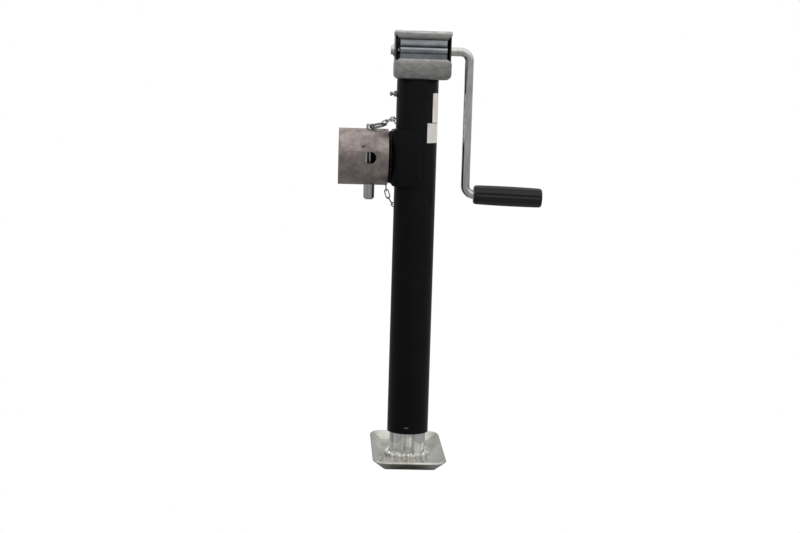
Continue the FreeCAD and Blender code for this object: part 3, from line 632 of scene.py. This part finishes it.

# Gear case, lid and covers
# The case and lid are folded from 3 mm sheet and the covers pressed from 1.5 mm, all zinc plated: dull
# and cloudy on the case and lid, smoother and bluer on the covers. Painted shade darkens the case's inner
# walls and the walls' front and rear edges, which take the dark greased steel, and the lid's rim and both
# sides of the covers' beads. A painted highlight lightens the case just below its flange's top.

CASE_EDGE = 0.6 * MM
CASE_SKIN = 2.7 * MM
FLANGE_HEIGHT = 27.5 * MM
COVER_EDGE = 0.3 * MM
COVER_BEAD = 4.2 * MM
# Painted shade, beside the covers' beads and along the lid's rim
PAINTED_SHADE = "#101316"
# A painted highlight along the case just below its flange's top
PAINTED_HIGHLIGHT = "#D6D5D2"
# Each tint's side of its level, where it starts, how far it reaches and how well it covers
ABOVE_BEAD = (1, COVER_BEAD, 5.5 * MM, 0.93)
BELOW_BEAD = (-1, COVER_BEAD, 1.6 * MM, 0.5)
ABOVE_RIM = (1, -MM, 6.0 * MM, 0.8)
BELOW_FLANGE_TOP = (-1, -MM, 8.0 * MM, 0.45)
# How squarely a face given painted shade has to point across the case, or to its front or rear
FACES_ACROSS = 0.5
FACES_FRONT = 0.9


def tint_beside(material, level, tint, colour):
    """Tints a sheet on one side of a level: most where the tint starts, fading out over its reach."""
    side, start, reach, cover = tint
    tree = material.node_tree
    shader = tree.nodes["Principled BSDF"]
    clean = shader.inputs["Base Color"].links[0].from_socket
    place = add_node(tree, "ShaderNodeTexCoord", {}).outputs["Object"]
    upward = add_node(tree, "ShaderNodeSeparateXYZ", {"Vector": place}).outputs["Z"]
    off = add_node(tree, "ShaderNodeMath", {0: upward, 1: level}, operation="SUBTRACT").outputs["Value"]
    away = add_node(tree, "ShaderNodeMath", {0: off, 1: side}, operation="MULTIPLY").outputs["Value"]
    beside = add_node(tree, "ShaderNodeMath", {0: away, 1: start}, operation="GREATER_THAN").outputs["Value"]
    fading = add_node(
        tree,
        "ShaderNodeMapRange",
        {"Value": away, "From Min": start, "From Max": start + reach, "To Min": cover, "To Max": 0.0},
        interpolation_type="SMOOTHSTEP",
    ).outputs["Result"]
    share = add_node(tree, "ShaderNodeMath", {0: beside, 1: fading}, operation="MULTIPLY").outputs["Value"]
    tinted = add_node(
        tree, "ShaderNodeMix", {0: share, 6: clean, 7: linear(colour)}, data_type="RGBA"
    ).outputs[2]
    set_inputs(tree, shader, {"Base Color": tinted})


case_zinc = zinc_plate("dull_zinc_on_folded_sheet", "#858483", "#A6A5A4", (0.3, 0.46), (9, 9, 4))
folded_case = softened("gear_case", "folded_case", CASE_EDGE, "jack_body", case_zinc)
folded_case.data.materials.append(greased_steel_and_shade)
case_low, case_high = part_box("gear_case")
flange_top = case_low.z + FLANGE_HEIGHT
# Painted highlight just below the flange's top
tint_beside(case_zinc, flange_top, BELOW_FLANGE_TOP, PAINTED_HIGHLIGHT)
# Painted shade: the case's inner wall faces, and the walls' front and rear edges above the flange, take the
# dark greased steel
skin = Vector((CASE_SKIN, CASE_SKIN, CASE_SKIN))
for face in folded_case.data.polygons:
    above_floor = face.center - case_low - skin
    below_walls = case_high - skin - face.center
    within = min(above_floor) > 0 and min(below_walls.xy) > 0
    painted_shade_edge = abs(face.normal.y) > FACES_FRONT and face.center.z > flange_top
    if within and abs(face.normal.x) > FACES_ACROSS or painted_shade_edge:
        face.material_index = 1
lid_zinc = zinc_plate("dull_zinc_on_lid", "#9A9998", "#CFCDCB", (0.3, 0.46), (14, 14, 1.5))
# Painted shade along the lid's lower rim
tint_beside(lid_zinc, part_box("gear_case_lid")[0].z, ABOVE_RIM, PAINTED_SHADE)
softened("gear_case_lid", "folded_lid", CASE_EDGE, "jack_body", lid_zinc)
cover_zinc = zinc_plate("blue_zinc_on_pressed_sheet", "#868B91", "#ACB0B4", (0.22, 0.34), (30, 30, 10))
bush_low, bush_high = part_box("left_shaft_bush")
# Painted shade above and below the covers' beads
for tint in (ABOVE_BEAD, BELOW_BEAD):
    tint_beside(cover_zinc, (bush_low.z + bush_high.z) / 2, tint, PAINTED_SHADE)
softened("front_gear_cover", "front_cover_plate", COVER_EDGE, "jack_body", cover_zinc)
softened("rear_gear_cover", "rear_cover_plate", COVER_EDGE, "jack_body", cover_zinc)

# Crank rod, washer and clip
# One cold-drawn bar bent twice, zinc plated. It runs in the case's two bushes and is held at its left
# end by a washer and a spring clip. The push nut on its other end keeps the grip on.

rod_zinc = zinc_plate("bright_zinc_on_bent_bar", "#BCBCBA", "#E4E4E1", (0.1, 0.2), (5, 5, 30))
for node in ("crank_rod", "rod_end_washer", "rod_end_clip", "grip_push_nut"):
    dress(node, rod_zinc)

# Handle grip
# A black plastic grip, moulded a little fuller at its middle and fluted along its length, with
# plain rounded ends and a recess for the push nut.

GRIP_LENGTH = 94.0 * MM
GRIP_END_RADIUS = 13.0 * MM
GRIP_MIDDLE_RADIUS = 13.7 * MM
GRIP_BELLY = 0.7
GRIP_ROUND = 1.6 * MM
GRIP_ROUND_SHARE = 0.8
GRIP_ROUND_STEPS = 4
GRIP_PLAIN_END = 3.0 * MM
GRIP_RECESS_RADIUS = 10.5 * MM
GRIP_RECESS_DEPTH = 6.0 * MM
GRIP_BORE = 6.1 * MM
GRIP_FLUTES = 10
GRIP_FLUTE_DEPTH = 1.3 * MM
GRIP_FLUTE_FADE = 0.8 * MM
GRIP_FLUTE_FORM = 0.8
GRIP_FLUTE_TURN = math.radians(12)
GRIP_FLUTE_STEPS = 10
GRIP_DROOP = math.radians(1.6)
GRIP_STATIONS = 40
GRIP_SHINE = 0.4
# The mould's texture is drawn coarser than it is, to blur the sheen
MOULD_TEXTURE = 0.7 * MM
MOULD_TEXTURE_DEPTH = 0.03 * MM
RUBBED_PATCHES = 17 * MM


def moulded_plastic():
    """Black polypropylene, moulded with a fine matt texture and rubbed a little shiny in patches."""
    material, tree, shader, place = new_material("moulded_black_polypropylene")
    texture = add_node(
        tree, "ShaderNodeTexNoise", {"Vector": place, "Scale": 1 / MOULD_TEXTURE, "Detail": 2.0}
    ).outputs["Fac"]
    rubbed = add_node(
        tree, "ShaderNodeTexNoise", {"Vector": place, "Scale": 1 / RUBBED_PATCHES, "Detail": 4.0}
    ).outputs["Fac"]
    shade = add_node(
        tree, "ShaderNodeMix", {0: rubbed, 6: linear("#070605"), 7: linear("#110E0C")}, data_type="RGBA"
    ).outputs[2]
    rough = add_node(
        tree, "ShaderNodeMapRange", {"Value": rubbed, **NOISE_BOUNDS, "To Min": 0.26, "To Max": 0.4}
    ).outputs["Result"]
    bump = add_node(
        tree, "ShaderNodeBump", {"Height": texture, "Strength": 0.3, "Distance": MOULD_TEXTURE_DEPTH}
    ).outputs["Normal"]
    set_inputs(
        tree,
        shader,
        {"Base Color": shade, "Roughness": rough, "Normal": bump, "Specular IOR Level": GRIP_SHINE},
    )
    return material


grip_low, grip_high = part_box("handle_grip")
outline = [Vector((0, 0, GRIP_BORE)), Vector((0, 0, GRIP_END_RADIUS - GRIP_ROUND))]
first_station = len(outline)
for step in range(GRIP_STATIONS + 1):
    share = step / GRIP_STATIONS
    along = GRIP_ROUND + (GRIP_LENGTH - 2 * GRIP_ROUND) * share
    fuller = (GRIP_MIDDLE_RADIUS - GRIP_END_RADIUS) * math.sin(math.pi * share) ** GRIP_BELLY
    outline.append(Vector((along, 0, GRIP_END_RADIUS + fuller)))
outline += [
    Vector((GRIP_LENGTH, 0, GRIP_END_RADIUS - GRIP_ROUND)),
    Vector((GRIP_LENGTH, 0, GRIP_RECESS_RADIUS)),
    Vector((GRIP_LENGTH - GRIP_RECESS_DEPTH, 0, GRIP_RECESS_RADIUS)),
    Vector((GRIP_LENGTH - GRIP_RECESS_DEPTH, 0, GRIP_BORE)),
]
bm = bmesh.new()
ring = [bm.verts.new(point) for point in outline]
for here, after in zip(ring, ring[1:] + ring[:1]):
    bm.edges.new((here, after))
bmesh.ops.bevel(
    bm,
    geom=[ring[first_station], ring[first_station + GRIP_STATIONS]],
    offset=GRIP_ROUND * GRIP_ROUND_SHARE,
    affect="VERTICES",
    segments=GRIP_ROUND_STEPS,
    profile=0.5,
)
bmesh.ops.spin(
    bm,
    geom=bm.verts[:] + bm.edges[:],
    cent=CENTRE,
    axis=(1, 0, 0),
    angle=math.tau,
    steps=GRIP_FLUTES * GRIP_FLUTE_STEPS,
    use_merge=True,
)
for vert in bm.verts:
    radius = math.hypot(vert.co.y, vert.co.z)
    inward = min(vert.co.x, GRIP_LENGTH - vert.co.x) - GRIP_PLAIN_END
    if inward > 0 and radius > GRIP_END_RADIUS - MM:
        around = (math.atan2(-vert.co.y, vert.co.z) - GRIP_FLUTE_TURN) * GRIP_FLUTES
        groove = max(0.0, math.cos(around)) ** GRIP_FLUTE_FORM
        depth = GRIP_FLUTE_DEPTH * groove * min(1.0, inward / GRIP_FLUTE_FADE)
        vert.co.y *= 1 - depth / radius
        vert.co.z *= 1 - depth / radius
bmesh.ops.translate(bm, verts=bm.verts, vec=(-GRIP_LENGTH / 2, 0, 0))
bmesh.ops.rotate(bm, verts=bm.verts, cent=CENTRE, matrix=Matrix.Rotation(GRIP_DROOP, 3, "Y"))
bmesh.ops.translate(bm, verts=bm.verts, vec=(grip_low + grip_high) / 2)
bmesh.ops.recalc_face_normals(bm, faces=bm.faces)
new_piece(bm, "fluted_grip", "grip", moulded_plastic(), ["handle_grip"])

# Blank labels
# Two plain oblong labels of thin white vinyl, one above the other, stuck to the paint round the
# right side of the tube.

# Each label's name, its first and last angle round the tube, and its lower and upper edge
LABELS = (
    ("upper_label", math.radians(45), math.radians(104), 466.5 * MM, 506.0 * MM),
    ("lower_label", math.radians(28), math.radians(100), 439.0 * MM, 465.5 * MM),
)
LABEL_THICKNESS = 0.12 * MM
LABEL_LIFT = LABEL_THICKNESS / 4
LABEL_STEPS = 24
VINYL_PATCHES = 14 * MM


def white_vinyl():
    """Plain white vinyl: a soft sheen, faintly uneven where it lies over the paint."""
    material, tree, shader, place = new_material("white_vinyl")
    cloud = add_node(
        tree, "ShaderNodeTexNoise", {"Vector": place, "Scale": 1 / VINYL_PATCHES, "Detail": 4.0}
    ).outputs["Fac"]
    shade = add_node(
        tree, "ShaderNodeMix", {0: cloud, 6: linear("#E0DBD7"), 7: linear("#F3EFEC")}, data_type="RGBA"
    ).outputs[2]
    set_inputs(tree, shader, {"Base Color": shade, "Roughness": 0.42})
    return material


vinyl = white_vinyl()
label_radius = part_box("outer_tube")[1].x + LABEL_LIFT
for name, first, last, bottom, top in LABELS:
    bm = bmesh.new()
    bmesh.ops.create_grid(bm, x_segments=LABEL_STEPS, y_segments=1, size=0.5)
    for vert in bm.verts:
        angle = first + (last - first) * (vert.co.x + 0.5)
        height = bottom + (top - bottom) * (vert.co.y + 0.5)
        vert.co = Vector((label_radius * math.sin(angle), -label_radius * math.cos(angle), height))
    bmesh.ops.solidify(bm, geom=bm.verts[:] + bm.edges[:] + bm.faces[:], thickness=-LABEL_THICKNESS)
    bmesh.ops.recalc_face_normals(bm, faces=bm.faces)
    new_piece(bm, name, "jack_body", vinyl)

# Stage, light and camera
# A white studio: floor and surroundings that show white. What the object mirrors is bright behind it
# and overhead and darker below and behind the camera. A shadow is painted into the floor's glow under the
# foot, so that the object mirrors darkest there. Three soft lamps add to the light without being mirrored.

FLOOR_DROP = 0.4 * MM
FLOOR_SIZE = 14.0
# The floor's glow for other rays and mirrored rays, and the painted shadow under the foot
FLOOR_LIGHT, FLOOR_MIRRORED, FLOOR_PAINTED_SHADOW = 0.45, 0.36, 0.06
# Where the floor's painted shadow ends, in shares of the foot's half size
SHADE_END = {"From Min": 0.9, "From Max": 1.3}
AMBIENT = 0.85
DARK_FRONT = 0.39
BRIGHT_BEHIND = 0.54
BRIGHT_ABOVE = 1.15
# Over which headings the surroundings turn from dark to bright
TOWARD_BEHIND = {"From Min": -0.2, "From Max": 1.0}
TOWARD_ABOVE = {"From Min": -0.1, "From Max": 0.9}
EYE = Vector((-0.1151, -2.0588, 0.5167))
YAW, PITCH, ROLL = math.radians(2.726), math.radians(-6.916), math.radians(1.69)
FOCAL_PIXELS, IMAGE_WIDTH, SENSOR = 1500, 800, 36.0
# Each lamp's name, place, size and power
LAMPS = (
    ("key_lamp", (-1.3, -1.7, 1.5), 0.9, 9),
    ("right_lamp", (1.9, -0.7, 0.9), 0.9, 34),
    ("top_lamp", (0.1, 0.3, 2.3), 1.4, 10),
)
LAMP_TARGET = Vector((0, 0, 0.33))
WHITE = (1, 1, 1, 1)
BLACK = (0, 0, 0, 1)

bm = bmesh.new()
bmesh.ops.create_grid(bm, x_segments=1, y_segments=1, size=FLOOR_SIZE)
bmesh.ops.translate(bm, verts=bm.verts, vec=(0, 0, -FLOOR_DROP))
mesh = bpy.data.meshes.new("floor")
bm.to_mesh(mesh)
bm.free()
floor = bpy.data.objects.new("floor", mesh)
bpy.context.scene.collection.objects.link(floor)
paper, tree, shader, place = new_material("white_paper")
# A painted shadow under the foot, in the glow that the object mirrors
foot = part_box("foot_plate")[1]
foot_scale = (1 / foot.x, 1 / foot.y, 0)
under = add_node(tree, "ShaderNodeMapping", {"Vector": place, "Scale": foot_scale}).outputs["Vector"]
far = add_node(tree, "ShaderNodeVectorMath", {0: under}, operation="LENGTH").outputs["Value"]
shown = add_node(
    tree,
    "ShaderNodeMapRange",
    {"Value": far, **SHADE_END, "To Min": FLOOR_PAINTED_SHADOW, "To Max": FLOOR_MIRRORED},
).outputs["Result"]
rays = add_node(tree, "ShaderNodeLightPath", {}).outputs
lit = add_node(tree, "ShaderNodeMix", {0: rays["Is Glossy Ray"], 2: FLOOR_LIGHT, 3: shown}).outputs[0]
glow = add_node(tree, "ShaderNodeMix", {0: rays["Is Camera Ray"], 2: lit, 3: 1.0}).outputs[0]
set_inputs(
    tree,
    shader,
    {"Base Color": BLACK, "Specular IOR Level": 0.0, "Emission Color": WHITE, "Emission Strength": glow},
)
mesh.materials.append(paper)

world = bpy.data.worlds.new("white_studio")
bpy.context.scene.world = world
world.use_nodes = True
tree = world.node_tree
rays = add_node(tree, "ShaderNodeLightPath", {}).outputs
heading = add_node(tree, "ShaderNodeTexCoord", {}).outputs["Generated"]
toward = add_node(tree, "ShaderNodeSeparateXYZ", {"Vector": heading}).outputs
behind = add_node(
    tree,
    "ShaderNodeMapRange",
    {"Value": toward["Y"], **TOWARD_BEHIND, "To Min": DARK_FRONT, "To Max": BRIGHT_BEHIND},
    interpolation_type="SMOOTHSTEP",
).outputs["Result"]
above = add_node(
    tree,
    "ShaderNodeMapRange",
    {"Value": toward["Z"], **TOWARD_ABOVE, "To Min": DARK_FRONT, "To Max": BRIGHT_ABOVE},
    interpolation_type="SMOOTHSTEP",
).outputs["Result"]
mirrored = add_node(tree, "ShaderNodeMath", {0: behind, 1: above}, operation="MAXIMUM").outputs["Value"]
level = add_node(tree, "ShaderNodeMix", {0: rays["Is Glossy Ray"], 2: AMBIENT, 3: mirrored}).outputs[0]
seen = add_node(
    tree, "ShaderNodeMath", {0: rays["Is Camera Ray"], 1: rays["Is Transmission Ray"]}, operation="MAXIMUM"
).outputs["Value"]
strength = add_node(tree, "ShaderNodeMix", {0: seen, 2: level, 3: 1.0}).outputs[0]
set_inputs(tree, tree.nodes["Background"], {"Color": WHITE, "Strength": strength})

for name, place, size, power in LAMPS:
    lamp = bpy.data.lights.new(name, "AREA")
    lamp.size = size
    lamp.energy = power
    holder = bpy.data.objects.new(name, lamp)
    holder.location = place
    holder.visible_glossy = False
    holder.rotation_euler = (LAMP_TARGET - Vector(place)).to_track_quat("-Z", "Y").to_euler()
    bpy.context.scene.collection.objects.link(holder)

lens = bpy.data.cameras.new("camera")
lens.sensor_width = SENSOR
lens.lens = SENSOR * FOCAL_PIXELS / IMAGE_WIDTH
camera = bpy.data.objects.new("camera", lens)
aim = Matrix.Rotation(-YAW, 4, "Z") @ Matrix.Rotation(math.pi / 2 + PITCH, 4, "X")
camera.matrix_world = Matrix.Translation(EYE) @ aim @ Matrix.Rotation(ROLL, 4, "Z")
bpy.context.scene.collection.objects.link(camera)
bpy.context.scene.camera = camera
bpy.context.scene.view_settings.view_transform = "Standard"
